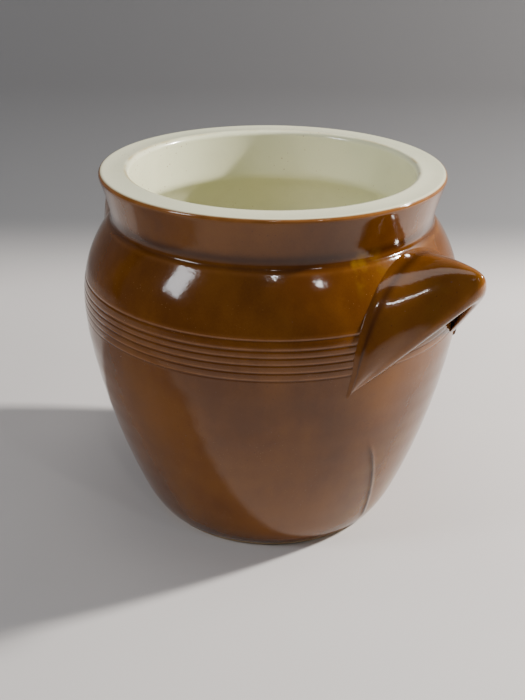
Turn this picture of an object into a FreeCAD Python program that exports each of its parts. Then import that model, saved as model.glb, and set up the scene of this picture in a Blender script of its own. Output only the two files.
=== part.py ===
"""Lidless glazed stoneware crock with two hooded ear lugs.

The pot is thrown: a thick floor, a wall that swells to a belly, a tight neck and a flared collar
with a broad flat rim.  Each ear is a separate pulled clay lug, hollow underneath for the fingers,
and luted to the shoulder with a thin layer of slip.  The clay carries two glaze coats: cream inside
and over the rim, brown outside and over the ears.  All lengths are in millimetres and +Z is up; the
origin is the middle of the foot, on the surface that the pot stands on.
"""
import FreeCAD, Part
import os
import re

import Sketcher

doc = FreeCAD.newDocument("crock")

# ---------------------------------------------------------------- driving dimensions
SIZES = {
    # pot, as clay without glaze
    "clay_height": 239.2,       # foot to rim
    "belly_radius": 125.2,      # widest point of the wall
    "foot_inset": 44.2,         # widest point in to the outer edge of the foot
    "foot_ring_width": 11.0,    # ring of clay that touches the table
    "foot_recess": 2.0,         # hollow under the floor, inside the ring
    "heel_inset": 32.9,         # widest point in to where the heel curve meets the wall
    "heel_height": 19.2,
    "shoulder_drop": 83.2,      # rim down to the widest point
    "belly_round": 180.0,       # profile radius just below the widest point
    "belly_drop": 28.25,        # widest point down to where the long lower wall begins
    "neck_inset": 20.6,         # widest point in to the neck
    "neck_straight": 6.2,       # upright stretch between shoulder and collar
    "collar_height": 23.4,      # neck to rim
    "rim_inset": 14.2,          # widest point in to where the collar's flare ends
    "rim_band": 2.0,            # height of the rim's outer rounding
    "mouth_inset": 32.0,        # widest point in to the mouth
    "mouth_rounding": 3.0,
    "wall_thickness": 11.0,
    "floor_thickness": 12.0,
    "floor_round": 20.0,        # inside corner between floor and wall
    # glaze and slip
    "glaze_thickness": 0.8,
    "cream_edge": 0.3,          # the cream coat ends this far below the top of the clay
    "glaze_stop": 4.0,          # the foot is wiped clean of glaze up to here
    "slip_thickness": 1.0,
    # throwing lines in the brown glaze
    "line_rise": 16.0,          # widest point up to the highest line
    "line_pitch": 4.9,
    "line_radius": 0.9,
    "line_depth": 0.35,
    # ears
    "ear_half_width": 57.7,     # at the wall
    "ear_apex_drop": 9.6,       # neck line to the top of the ear
    "ear_rise": 74.0,           # ends of the legs to the top of the ear
    "ear_reach": 33.5,          # tip beyond the widest point of the wall
    "ear_spine_drop": 3.0,      # how far the ridge falls from the wall to the tip
    "ear_tip_half_width": 8.5,
    "ear_tip_thickness": 11.0,
    "ear_ridge_round": 17.0,    # radius of the ridge halfway out
    "ear_lip": 7.0,             # clay left around the finger hollow
    "ear_tip_solid": 11.0,      # clay between the hollow and the tip
    "ear_nose": 3.0,            # length of the blunted end of the tip
}
LINE_COUNT = 6

sheet = doc.addObject("Spreadsheet::Sheet", "sizes")
for row, (alias, value) in enumerate(SIZES.items(), start=1):
    sheet.set(f"A{row}", alias)
    sheet.set(f"B{row}", str(value))
    sheet.setAlias(f"B{row}", alias)
doc.recompute()


def bound(text):
    """An expression on the sheet: every alias in the text becomes a reference to its cell."""
    return re.sub("[a-z_]+", lambda word: ("sizes." if word[0] in SIZES else "") + word[0], text)


def size(text):
    """The present value of an expression on the sheet."""
    return float(sheet.evalExpression(bound(text)))


def bind(item, prop, text):
    item.setExpression(prop, bound(text))


# ---------------------------------------------------------------- sketch helpers
def point(x, z):
    return FreeCAD.Vector(x, z, 0)


def add_line(sketch, start, end):
    return sketch.addGeometry(Part.LineSegment(start, end), False)


def add_arc(sketch, centre, start, end):
    """Arc from start anticlockwise to end about the given centre, as a first guess."""
    def turn(at):
        return FreeCAD.Vector(1, 0, 0).getAngle(at - centre) * (1 if at.y >= centre.y else -1)
    circle = Part.Circle(centre, FreeCAD.Vector(0, 0, 1), start.distanceToPoint(centre))
    return sketch.addGeometry(Part.ArcOfCircle(circle, turn(start), turn(end)), False)


def rule(sketch, kind, *items):
    return sketch.addConstraint(Sketcher.Constraint(kind, *items))


def rule_size(sketch, kind, items, text):
    """A dimension whose value is an expression on the sheet."""
    index = rule(sketch, kind, *items, float(sketch.evalExpression(bound(text))))
    sketch.setExpression(f"Constraints[{index}]", bound(text))
    return index


def place_across(sketch, item, end, text):
    rule_size(sketch, "DistanceX", (-1, 1, item, end), text)


def place_up(sketch, item, end, text):
    rule_size(sketch, "DistanceY", (-1, 1, item, end), text)


def origin_plane(body, role):
    return next(item for item in body.Origin.OriginFeatures if item.Role == role)


def body_sketch(body, name, role):
    sketch = body.newObject("Sketcher::SketchObject", name)
    sketch.AttachmentSupport = [(origin_plane(body, role), "")]
    sketch.MapMode = "FlatFace"
    return sketch


# ---------------------------------------------------------------- profile of the pot
FOOT_R = "(belly_radius - foot_inset)"
HEEL_R = "(belly_radius - heel_inset)"
NECK_R = "(belly_radius - neck_inset)"
RIM_R = "(belly_radius - rim_inset)"
MOUTH_R = "(belly_radius - mouth_inset)"
BELLY_UP = "clay_height - shoulder_drop"
WALL_TOP_UP = f"{BELLY_UP} - belly_drop"
NECK_UP = "clay_height - collar_height"
NECK_START_UP = f"{NECK_UP} - neck_straight"
RIM_UP = "clay_height - rim_band"
SHOULDER_RISE = "(shoulder_drop - collar_height - neck_straight)"
SHOULDER_ROUND = f"(({SHOULDER_RISE} ^ 2 + neck_inset ^ 2) / (2 * neck_inset))"

FOOT = point(size(FOOT_R), 0)
HEEL = point(size(HEEL_R), size("heel_height"))
BELLY = point(size("belly_radius"), size(BELLY_UP))
BELLY_CENTRE = BELLY - point(size("belly_round"), 0)
SHOULDER_CENTRE = BELLY - point(size(SHOULDER_ROUND), 0)
NECK = point(size(NECK_R), size(NECK_UP))
RIM = point(size(RIM_R), size(RIM_UP))


def towards(start, target, distance):
    """The point at a distance from start on the way to target."""
    return start + (target - start).normalize() * distance


def wall_end(inset):
    """Where the wall's arc hands over to the belly's, for a profile this far inside."""
    reach = size("belly_round")
    across = (reach ** 2 - size("belly_drop") ** 2) ** 0.5
    outer = BELLY_CENTRE + point(across, -size("belly_drop"))
    return towards(outer, BELLY_CENTRE, inset)


def smooth_centre(through, end, inward):
    """Centre of the arc that ends square to a unit direction and passes through a point."""
    step = end - through
    return end - inward * (step.dot(step) / (2 * inward.dot(step)))


WALL_CENTRE = smooth_centre(HEEL, wall_end(0), (BELLY_CENTRE - wall_end(0)).normalize())
HEEL_CENTRE = smooth_centre(FOOT, HEEL, (WALL_CENTRE - HEEL).normalize())


def shoulder_end(inset, across):
    """Where the shoulder's arc, this far inside, reaches a distance from the axis."""
    reach = size(SHOULDER_ROUND) - inset
    rise = (reach ** 2 - (across - SHOULDER_CENTRE.x) ** 2) ** 0.5
    return point(across, BELLY.y + rise)


def centre_of_rim():
    """Centre of the arc that leaves the collar smoothly and ends level at the top."""
    flare = (RIM - NECK).normalize()
    return RIM + point(-flare.y, flare.x) * (size("rim_band") / (1 + flare.x))


def draw_outside(sketch):
    """Foot, heel, wall, belly, shoulder, neck and collar; returns the lines and arcs by name."""
    neck_start = shoulder_end(0, NECK.x)
    part = {}
    part["heel"] = add_arc(sketch, HEEL_CENTRE, FOOT, HEEL)
    part["wall"] = add_arc(sketch, WALL_CENTRE, HEEL, wall_end(0))
    part["belly"] = add_arc(sketch, BELLY_CENTRE, wall_end(0), BELLY)
    part["shoulder"] = add_arc(sketch, SHOULDER_CENTRE, BELLY, neck_start)
    part["neck"] = add_line(sketch, neck_start, NECK)
    part["collar"] = add_line(sketch, NECK, RIM)

    rule(sketch, "Tangent", part["heel"], 2, part["wall"], 1)
    rule(sketch, "Tangent", part["wall"], 2, part["belly"], 1)
    rule(sketch, "Coincident", part["belly"], 2, part["shoulder"], 1)
    rule(sketch, "Coincident", part["shoulder"], 2, part["neck"], 1)
    rule(sketch, "Coincident", part["neck"], 2, part["collar"], 1)
    rule(sketch, "Horizontal", part["belly"], 3, part["belly"], 2)
    rule(sketch, "Horizontal", part["shoulder"], 3, part["belly"], 2)
    rule(sketch, "Vertical", part["neck"])

    place_across(sketch, part["heel"], 1, FOOT_R)
    rule(sketch, "PointOnObject", part["heel"], 1, -1)
    place_across(sketch, part["wall"], 1, HEEL_R)
    place_up(sketch, part["wall"], 1, "heel_height")
    place_up(sketch, part["wall"], 2, WALL_TOP_UP)
    place_across(sketch, part["belly"], 2, "belly_radius")
    place_up(sketch, part["belly"], 2, BELLY_UP)
    rule_size(sketch, "Radius", (part["belly"],), "belly_round")
    place_up(sketch, part["neck"], 1, NECK_START_UP)
    place_across(sketch, part["neck"], 2, NECK_R)
    place_up(sketch, part["neck"], 2, NECK_UP)
    place_across(sketch, part["collar"], 2, RIM_R)
    place_up(sketch, part["collar"], 2, RIM_UP)
    return part


def draw_inside(sketch, outer):
    """Rim, mouth, throat, inner wall and floor, from the collar's end to the axis."""
    top = size("clay_height")
    thick = size("wall_thickness")
    mouth = size(MOUTH_R)
    soft = size("mouth_rounding")
    corner = size("floor_round")
    floor = size("floor_thickness")
    rim_centre = centre_of_rim()
    rim_top = point(rim_centre.x, top)
    mouth_top = point(mouth + soft, top)
    mouth_side = point(mouth, top - soft)
    throat_end = shoulder_end(thick, mouth)
    inner_belly = BELLY - point(thick, 0)
    wall_top = wall_end(thick)
    lift = floor + corner - WALL_CENTRE.y
    reach = WALL_CENTRE.distanceToPoint(HEEL) - thick - corner
    corner_centre = point(WALL_CENTRE.x + (reach ** 2 - lift ** 2) ** 0.5, floor + corner)
    wall_low = towards(WALL_CENTRE, corner_centre, reach + corner)
    floor_end = corner_centre - point(0, corner)
    part = {}
    part["rim"] = add_arc(sketch, rim_centre, RIM, rim_top)
    part["top"] = add_line(sketch, rim_top, mouth_top)
    part["mouth"] = add_arc(sketch, mouth_top - point(0, soft), mouth_top, mouth_side)
    part["throat"] = add_line(sketch, mouth_side, throat_end)
    part["shoulder"] = add_arc(sketch, SHOULDER_CENTRE, inner_belly, throat_end)
    part["belly"] = add_arc(sketch, BELLY_CENTRE, wall_top, inner_belly)
    part["wall"] = add_arc(sketch, WALL_CENTRE, wall_low, wall_top)
    part["corner"] = add_arc(sketch, corner_centre, floor_end, wall_low)
    part["floor"] = add_line(sketch, floor_end, point(0, floor))

    rule(sketch, "Tangent", part["rim"], 2, part["top"], 1)
    rule(sketch, "Horizontal", part["top"])
    rule(sketch, "Tangent", part["top"], 2, part["mouth"], 1)
    rule(sketch, "Tangent", part["mouth"], 2, part["throat"], 1)
    rule(sketch, "Vertical", part["throat"])
    rule(sketch, "Coincident", part["throat"], 2, part["shoulder"], 2)
    rule(sketch, "Coincident", part["shoulder"], 1, part["belly"], 2)
    rule(sketch, "Tangent", part["wall"], 2, part["belly"], 1)
    rule(sketch, "Tangent", part["corner"], 2, part["wall"], 1)
    rule(sketch, "Coincident", part["wall"], 3, outer["wall"], 3)
    rule(sketch, "Coincident", part["belly"], 3, outer["belly"], 3)
    rule(sketch, "Coincident", part["shoulder"], 3, outer["shoulder"], 3)
    rule(sketch, "Tangent", part["corner"], 1, part["floor"], 1)
    rule(sketch, "Horizontal", part["floor"])
    rule(sketch, "PointOnObject", part["floor"], 2, -2)

    place_up(sketch, part["top"], 2, "clay_height")
    place_across(sketch, part["throat"], 1, MOUTH_R)
    rule_size(sketch, "Radius", (part["mouth"],), "mouth_rounding")
    place_across(sketch, part["belly"], 2, "belly_radius - wall_thickness")
    place_up(sketch, part["belly"], 2, BELLY_UP)
    rule_size(sketch, "Radius", (part["corner"],), "floor_round")
    place_up(sketch, part["floor"], 2, "floor_thickness")
    return part


def draw_foot(sketch, heel):
    """Ring that touches the table and the shallow recess inside it, back to the axis."""
    inner = FOOT.x - size("foot_ring_width")
    recess = size("foot_recess")
    part = {}
    part["ring"] = add_line(sketch, FOOT, point(inner, 0))
    part["step"] = add_line(sketch, point(inner, 0), point(inner - recess, recess))
    part["under"] = add_line(sketch, point(inner - recess, recess), point(0, recess))
    rule(sketch, "Coincident", part["ring"], 1, heel, 1)
    rule(sketch, "Coincident", part["ring"], 2, part["step"], 1)
    rule(sketch, "Coincident", part["step"], 2, part["under"], 1)
    rule(sketch, "Horizontal", part["ring"])
    rule(sketch, "Horizontal", part["under"])
    rule(sketch, "PointOnObject", part["under"], 2, -2)
    place_across(sketch, part["step"], 1, f"{FOOT_R} - foot_ring_width")
    place_across(sketch, part["step"], 2, f"{FOOT_R} - foot_ring_width - foot_recess")
    place_up(sketch, part["step"], 2, "foot_recess")
    return part


def require_fixed(sketch):
    """Every point of a profile is pinned by its rules and dimensions."""
    doc.recompute()
    if sketch.solve() != 0:
        raise RuntimeError(f"{sketch.Name} did not solve")
    return sketch


# ---------------------------------------------------------------- stoneware body
stoneware = doc.addObject("PartDesign::Body", "stoneware_body")
section = body_sketch(stoneware, "pot_section", "YZ_Plane")
outside = draw_outside(section)
inside = draw_inside(section, outside)
foot = draw_foot(section, outside["heel"])
rule(section, "Tangent", outside["collar"], 2, inside["rim"], 1)
axis_line = add_line(section, point(0, size("floor_thickness")), point(0, size("foot_recess")))
rule(section, "Coincident", axis_line, 1, inside["floor"], 2)
rule(section, "Coincident", axis_line, 2, foot["under"], 2)
require_fixed(section)
throw = stoneware.newObject("PartDesign::Revolution", "thrown_pot")
throw.Profile = section
throw.ReferenceAxis = (section, ["V_Axis"])
throw.Angle = 360
doc.recompute()


# ---------------------------------------------------------------- solids that follow the pot
def thickened(name, amount):
    """The clay pot with an even layer laid on all of its surface."""
    layer = doc.addObject("Part::Offset", name)
    layer.Source = stoneware
    layer.Join = "Intersection"
    bind(layer, "Value", amount)
    return layer


def boolean(kind, name, base, tool):
    result = doc.addObject(f"Part::{kind}", name)
    result.Base = base
    result.Tool = tool
    return result


def cut(name, base, tool):
    return boolean("Cut", name, base, tool)


def common(name, base, tool):
    return boolean("Common", name, base, tool)


def slab(name, bottom, height):
    """A flat block wider than the pot, used to part the coats at a level."""
    block = doc.addObject("Part::Box", name)
    bind(block, "Length", "4 * belly_radius")
    bind(block, "Width", "4 * belly_radius")
    bind(block, "Height", height)
    bind(block, "Placement.Base.x", "0 - 2 * belly_radius")
    bind(block, "Placement.Base.y", "0 - 2 * belly_radius")
    bind(block, "Placement.Base.z", bottom)
    return block


filled_section = doc.addObject("Sketcher::SketchObject", "filled_section")
filled_section.Placement = FreeCAD.Placement(
    FreeCAD.Vector(), FreeCAD.Rotation(FreeCAD.Vector(1, 1, 1), 120))
filled_part = draw_outside(filled_section)
lid_line = add_line(filled_section, RIM, point(0, RIM.y))
middle_line = add_line(filled_section, point(0, RIM.y), point(0, 0))
table_line = add_line(filled_section, point(0, 0), FOOT)
rule(filled_section, "Coincident", filled_part["collar"], 2, lid_line, 1)
rule(filled_section, "Coincident", lid_line, 2, middle_line, 1)
rule(filled_section, "Coincident", middle_line, 2, table_line, 1)
rule(filled_section, "Coincident", table_line, 2, filled_part["heel"], 1)
rule(filled_section, "Horizontal", lid_line)
rule(filled_section, "Vertical", middle_line)
rule(filled_section, "Horizontal", table_line)
rule(filled_section, "PointOnObject", middle_line, 2, -2)
require_fixed(filled_section)
filled_pot = doc.addObject("Part::Revolution", "filled_pot")
filled_pot.Source = filled_section
filled_pot.Axis = FreeCAD.Vector(0, 0, 1)
filled_pot.Angle = 360
filled_pot.Solid = True

glazed_pot = thickened("glazed_pot", "glaze_thickness")
slipped_pot = thickened("slipped_pot", "slip_thickness")
above_seam = slab("above_seam", "clay_height - cream_edge", "2 * rim_band")
mouth_plug = doc.addObject("Part::Cylinder", "mouth_plug")
bind(mouth_plug, "Radius", f"{MOUTH_R} + mouth_rounding")
bind(mouth_plug, "Height", "2 * rim_band")
bind(mouth_plug, "Placement.Base.z", RIM_UP)
wiped_foot = slab("wiped_foot", "glaze_stop - floor_thickness", "floor_thickness")
doc.recompute()

# ---------------------------------------------------------------- cream coat: inside and rim
inner_zone = doc.addObject("Part::MultiFuse", "inner_zone")
inner_zone.Shapes = [filled_pot, mouth_plug, above_seam]
whole_skin = cut("whole_skin", glazed_pot, stoneware)
inner_skin = common("inner_skin", whole_skin, inner_zone)
cream_liner = cut("cream_liner_glaze", inner_skin, wiped_foot)
doc.recompute()

# ---------------------------------------------------------------- ear lugs
EAR_TOP = f"{NECK_UP} - ear_apex_drop"
EAR_FOOT = f"{EAR_TOP} - ear_rise"
TIP_TOP = f"{EAR_TOP} - ear_spine_drop"
TIP_FOOT = f"{TIP_TOP} - ear_tip_thickness"
WALL_X = "sqrt(belly_radius ^ 2 - ear_half_width ^ 2)"
TIP_X = "belly_radius + ear_reach"
BURIED_X = MOUTH_R


def mix(at_wall, at_tip, share):
    """A size part of the way from the wall (share 0) to the tip (share 1)."""
    return f"( {at_wall} ) * ( 1 - ( {share} ) ) + ( {at_tip} ) * ( {share} )"


def hood_section(body, name, across, half_width, bottom, top, ridge):
    """Upright outline of an ear at one distance from the axis: a round ridge over two flanks."""
    sketch = body_sketch(body, name, "YZ_Plane")
    bind(sketch, "AttachmentOffset.Base.z", across)
    doc.recompute()
    wide = float(sketch.evalExpression(bound(half_width)))
    low = float(sketch.evalExpression(bound(bottom)))
    round_off = float(sketch.evalExpression(bound(ridge)))
    centre = point(0, float(sketch.evalExpression(bound(f"{top} - ( {ridge} )"))))
    right_low, left_low = point(wide, low), point(-wide, low)
    right_high, left_high = centre + point(round_off, 0.1), centre + point(-round_off, 0.1)
    edge = add_line(sketch, left_low, right_low)
    right = add_line(sketch, right_low, right_high)
    arch = add_arc(sketch, centre, right_high, left_high)
    left = add_line(sketch, left_high, left_low)
    rule(sketch, "Coincident", edge, 2, right, 1)
    rule(sketch, "Tangent", right, 2, arch, 1)
    rule(sketch, "Tangent", arch, 2, left, 1)
    rule(sketch, "Coincident", left, 2, edge, 1)
    rule(sketch, "Symmetric", edge, 1, edge, 2, -2)
    rule(sketch, "PointOnObject", arch, 3, -2)
    place_across(sketch, edge, 2, half_width)
    place_up(sketch, edge, 2, bottom)
    rule_size(sketch, "Radius", (arch,), ridge)
    place_up(sketch, arch, 3, f"{top} - ( {ridge} )")
    return require_fixed(sketch)


def hood(name, inset, end_share, end_inset, cut_below):
    """A solid hood from inside the pot's wall out to the last outline; returns its body.

    inset makes every outline smaller than the clay ear's, end_share says how far out the last
    outline stands (1 is the tip), end_inset moves that outline back, and cut_below carries the
    outlines further down, past the plane of the ear's opening.
    """
    body = doc.addObject("PartDesign::Body", name)

    def outline(label, share, back, smaller, half_width, ridge):
        return hood_section(
            body, f"{name}_{label}",
            f"{mix(WALL_X, TIP_X, share)} - ({back})",
            f"{half_width} - ({smaller})",
            f"{mix(EAR_FOOT, TIP_FOOT, share)} + {smaller} - ({cut_below})",
            f"{mix(EAR_TOP, TIP_TOP, share)} - ({smaller})",
            f"{ridge} - ({smaller})")

    def bridge(label, start, others, ruled):
        loft = body.newObject("PartDesign::AdditiveLoft", f"{name}_{label}")
        loft.Profile = start
        loft.Sections = others
        loft.Ruled = ruled
        doc.recompute()

    end_ridge = mix("ear_ridge_round", "ear_tip_half_width", f"2 * ({end_share}) - 1")
    end_width = mix("ear_half_width", "ear_tip_half_width", end_share)
    middle_width = mix("ear_half_width", "ear_tip_half_width", "0.5")
    wall = outline("wall", "0", "0", inset, "ear_half_width", "ear_half_width")
    middle = outline("middle", "0.5", "0", inset, middle_width, "ear_ridge_round")
    end = outline("end", end_share, f"{end_inset} + ear_nose", inset, end_width, end_ridge)
    nose = outline("nose", end_share, end_inset, f"{inset} + 0.6 * ear_nose", end_width, end_ridge)
    bridge("flanks", wall, [middle, end], False)
    bridge("rounded_end", end, [nose], True)
    stem = body.newObject("PartDesign::Pad", f"{name}_stem")
    stem.Profile = wall
    stem.Reversed = True
    bind(stem, "Length", f"{WALL_X} - {BURIED_X}")
    doc.recompute()
    return body


HOLLOW_SHARE = f"1 - ear_tip_solid / ({TIP_X} - {WALL_X})"
HOLLOW_BELOW = "3 * ear_lip"

clay_hood = hood("clay_hood", "0", "1", "0", "0")
clay_hollow = hood("clay_hollow", "ear_lip", HOLLOW_SHARE, "0", HOLLOW_BELOW)
GLAZE_OUT = "0 - glaze_thickness"
glaze_hood = hood("glaze_hood", GLAZE_OUT, "1", GLAZE_OUT, "0")
GLAZE_IN = "ear_lip + glaze_thickness"
glaze_hollow = hood("glaze_hollow", GLAZE_IN, HOLLOW_SHARE, "glaze_thickness", HOLLOW_BELOW)

clay_ear = cut("clay_ear", clay_hood, clay_hollow)
glazed_ear = cut("glazed_ear", glaze_hood, glaze_hollow)

# The clay of the ear stops on the slip, and the slip stops on the clay of the pot.
outside_clay = cut("outside_clay", clay_ear, filled_pot)
ear_right = cut("ear_right", outside_clay, slipped_pot)
slipped_root = common("slipped_root", clay_ear, slipped_pot)
ear_right_slip = cut("ear_right_slip", slipped_root, filled_pot)

# The ear's glaze lies on its clay and ends on the glaze of the pot.
ear_coat = cut("ear_coat", glazed_ear, clay_ear)
ear_coat_outside = cut("ear_coat_outside", ear_coat, filled_pot)
ear_right_glaze = cut("ear_right_glaze", ear_coat_outside, glazed_pot)


def opposite(name, source):
    """The same piece on the other side of the pot."""
    twin = doc.addObject("Part::Mirroring", name)
    twin.Source = source
    twin.Base = FreeCAD.Vector(0, 0, 0)
    twin.Normal = FreeCAD.Vector(1, 0, 0)
    return twin


ear_left = opposite("ear_left", ear_right)
ear_left_slip = opposite("ear_left_slip", ear_right_slip)
ear_left_glaze = opposite("ear_left_glaze", ear_right_glaze)
left_footprint = opposite("left_footprint", outside_clay)


# ---------------------------------------------------------------- brown coat of the pot
def throwing_line(number):
    """A fine ring cut into the glaze where a finger steadied the wall."""
    ring = doc.addObject("Part::Torus", f"throwing_line_{number}")
    rise = f"(line_rise - line_pitch * {number})"
    curve = SHOULDER_ROUND if size(rise) > 0 else "belly_round"
    wall = f"belly_radius - {curve} + sqrt({curve} ^ 2 - {rise} ^ 2)"
    bind(ring, "Radius1", f"{wall} + glaze_thickness + line_radius - line_depth")
    bind(ring, "Radius2", "line_radius")
    bind(ring, "Placement.Base.z", f"{BELLY_UP} + {rise}")
    return ring


lines = doc.addObject("Part::MultiFuse", "throwing_lines")
lines.Shapes = [throwing_line(number) for number in range(LINE_COUNT)]
outer_skin = cut("outer_skin", whole_skin, inner_zone)
coat_above_foot = cut("coat_above_foot", outer_skin, wiped_foot)
lined_coat = cut("lined_coat", coat_above_foot, lines)
coat_round_right_ear = cut("coat_round_right_ear", lined_coat, outside_clay)
brown_outer_glaze = cut("brown_outer_glaze", coat_round_right_ear, left_footprint)

# ---------------------------------------------------------------- check and export
PIECES = [
    stoneware, cream_liner, brown_outer_glaze,
    ear_right, ear_left, ear_right_slip, ear_left_slip, ear_right_glaze, ear_left_glaze]
for piece in PIECES:
    piece.Label = piece.Name
doc.recompute()

for item in doc.Objects:
    if "Invalid" in item.State or "Error" in item.State:
        raise RuntimeError(f"{item.Name} failed: {item.State}")
for piece in PIECES:
    if piece.Shape.isNull() or not piece.Shape.isValid() or not piece.Shape.Solids:
        raise RuntimeError(f"{piece.Label} has no valid solid")

os.makedirs("parts", exist_ok=True)
for piece in PIECES:
    piece.Shape.exportStep(os.path.join("parts", f"{piece.Label}.step"))
    print(f"{piece.Label}: {len(piece.Shape.Solids)} solid(s), {piece.Shape.Volume:.0f} mm3")
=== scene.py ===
# %% [markdown]
# A glazed stoneware crock, built around its engineering model
#
# The crock is an open pot thrown on a wheel, with two hood-shaped ears stuck to its shoulder.
# It wears two glazes: treacle brown outside, cream inside and over the rim.  The engineering
# model gives the sizes and says where each piece sits.  This lesson makes the glazed skins that
# you see, as surfaces worked out with numpy, and then their finishes, the stage and the lights.

# %% Load the frame
import math

import bmesh
import bpy
import numpy as np
from mathutils import Euler, Matrix, Vector


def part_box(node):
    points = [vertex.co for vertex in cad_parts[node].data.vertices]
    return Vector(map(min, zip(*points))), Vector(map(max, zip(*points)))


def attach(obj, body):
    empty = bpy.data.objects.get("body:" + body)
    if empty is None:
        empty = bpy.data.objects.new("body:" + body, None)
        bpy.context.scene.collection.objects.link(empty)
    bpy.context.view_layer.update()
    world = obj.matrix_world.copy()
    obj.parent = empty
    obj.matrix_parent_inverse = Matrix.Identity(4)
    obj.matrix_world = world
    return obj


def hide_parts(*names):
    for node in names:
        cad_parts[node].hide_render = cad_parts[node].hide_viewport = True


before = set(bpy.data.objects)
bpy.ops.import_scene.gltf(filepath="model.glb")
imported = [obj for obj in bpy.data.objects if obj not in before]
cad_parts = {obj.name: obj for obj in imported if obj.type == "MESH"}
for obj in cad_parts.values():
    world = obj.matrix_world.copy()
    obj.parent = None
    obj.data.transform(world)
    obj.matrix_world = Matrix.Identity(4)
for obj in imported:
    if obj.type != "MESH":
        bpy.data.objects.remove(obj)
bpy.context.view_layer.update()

# %% [markdown]
# Everything is in metres, but a potter thinks in millimetres, so MM turns one into the other.
# The outer sizes are read from the frame.  The rest are the pot's own curves: each stretch of the
# wall is an arc, because a rib held against a turning wall leaves a round profile.

# %% Sizes of the pot
MM = 0.001
GLAZE = 0.8 * MM

RIM_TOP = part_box("cream_liner_glaze")[1][2]
BELLY_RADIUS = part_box("brown_outer_glaze")[1][1]
GLAZE_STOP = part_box("brown_outer_glaze")[0][2]
EAR_TIP_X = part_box("ear_right_glaze")[1][0]

FOOT_RADIUS = 81.8 * MM
HEEL_RADIUS, HEEL_HEIGHT = 93.1 * MM, 19.2 * MM
BELLY_HEIGHT = 156.0 * MM
WALL_ROUND, BELLY_ROUND, SHOULDER_ROUND = 480.8 * MM, 180.8 * MM, 80.8 * MM
NECK_RADIUS, NECK_HEIGHT = 105.4 * MM, 215.8 * MM
FLARE_END_RADIUS, FLARE_END_HEIGHT = 111.75 * MM, 236.97 * MM
RIM_EDGE_ROUND = 2.36 * MM
MOUTH_RADIUS, MOUTH_ROUND = 92.4 * MM, 3.6 * MM
WALL, FLOOR, FLOOR_ROUND = 12.6 * MM, 12.8 * MM, 19.2 * MM
print(f"rim at {RIM_TOP / MM:.1f} mm, widest {2 * BELLY_RADIUS / MM:.1f} mm")


# %% [markdown]
# The outside of the pot is one curve, radius against height.  The long wall arc touches the belly
# arc inside and passes through the heel, so its centre is where two circles cross.  The neck is a
# tight inside corner; a soft maximum of the shoulder arc, the neck line and the flare line gives
# that corner the small radius that a thumb leaves.

# %% Radius of the outside at any height
def soft_max(one, other, softness):
    """Half of (a + b + the root of (a - b) squared plus softness squared)."""
    return 0.5 * (one + other + np.sqrt((one - other) ** 2 + softness ** 2))


def centre_inside(through, radius, centre, centre_radius):
    """Centre of the arc through a point that touches a smaller circle from outside.

    It lies `radius` from the point and `radius - centre_radius` from the smaller circle's centre.
    """
    gap = centre - through
    distance = np.hypot(*gap)
    near, far = radius, radius - centre_radius
    along = (near ** 2 - far ** 2 + distance ** 2) / (2 * distance)
    aside = math.sqrt(near ** 2 - along ** 2)
    unit = gap / distance
    return through + along * unit + aside * np.array([-unit[1], unit[0]])


BELLY_CENTRE = np.array([BELLY_RADIUS - BELLY_ROUND, BELLY_HEIGHT])
SHOULDER_CENTRE = np.array([BELLY_RADIUS - SHOULDER_ROUND, BELLY_HEIGHT])
HEEL_POINT = np.array([HEEL_RADIUS, HEEL_HEIGHT])
WALL_CENTRE = centre_inside(HEEL_POINT, WALL_ROUND, BELLY_CENTRE, BELLY_ROUND)
TOUCH = BELLY_CENTRE + BELLY_ROUND * (BELLY_CENTRE - WALL_CENTRE) / np.hypot(
    *(BELLY_CENTRE - WALL_CENTRE))

HEEL_DIRECTION = (WALL_CENTRE - HEEL_POINT) / WALL_ROUND
FOOT_STEP = HEEL_POINT - np.array([FOOT_RADIUS, 0.0])
HEEL_ROUND = -(FOOT_STEP @ FOOT_STEP) / (2 * HEEL_DIRECTION @ FOOT_STEP)
HEEL_CENTRE = HEEL_POINT + HEEL_ROUND * HEEL_DIRECTION


def arc_radius(centre, radius, height):
    """Distance from the axis of an arc to the right of its centre."""
    return centre[0] + np.sqrt(np.maximum(radius ** 2 - (height - centre[1]) ** 2, 0))


def pot_radius(height):
    """Outer radius of the glazed pot: heel, wall, belly and shoulder arcs, then neck and flare."""
    heel = arc_radius(HEEL_CENTRE, HEEL_ROUND, height)
    wall = arc_radius(WALL_CENTRE, WALL_ROUND, height)
    belly = arc_radius(BELLY_CENTRE, BELLY_ROUND, height)
    shoulder = arc_radius(SHOULDER_CENTRE, SHOULDER_ROUND, height)
    slope = (FLARE_END_RADIUS - NECK_RADIUS) / (FLARE_END_HEIGHT - NECK_HEIGHT)
    flare = NECK_RADIUS + slope * (height - NECK_HEIGHT)
    top = soft_max(soft_max(shoulder, NECK_RADIUS, 0.8 * MM), flare, 1.2 * MM)
    return np.select(
        [height < HEEL_HEIGHT, height < TOUCH[1], height < BELLY_HEIGHT], [heel, wall, belly], top)


print("belly arc takes over at", round(TOUCH[1] / MM, 1), "mm; heel radius",
      round(HEEL_ROUND / MM, 1))


# %% [markdown]
# The whole skin, from the foot up over the rim and down to the middle of the floor, is one long
# outline.  The brown coat takes the first part and the cream coat the rest, so they meet exactly.
# Rows are packed where something small happens and spread out where the wall is plain.

# %% The outline from foot to floor
def arc(centre, radius, start, end, count):
    """Points at equal steps of angle: centre plus radius times (cosine, sine)."""
    angle = np.radians(np.linspace(start, end, count))
    return np.stack([centre[0] + radius * np.cos(angle), centre[1] + radius * np.sin(angle)], 1)


FLARE_ANGLE, SEAM_ANGLE = 16.7, 50.0


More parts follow.
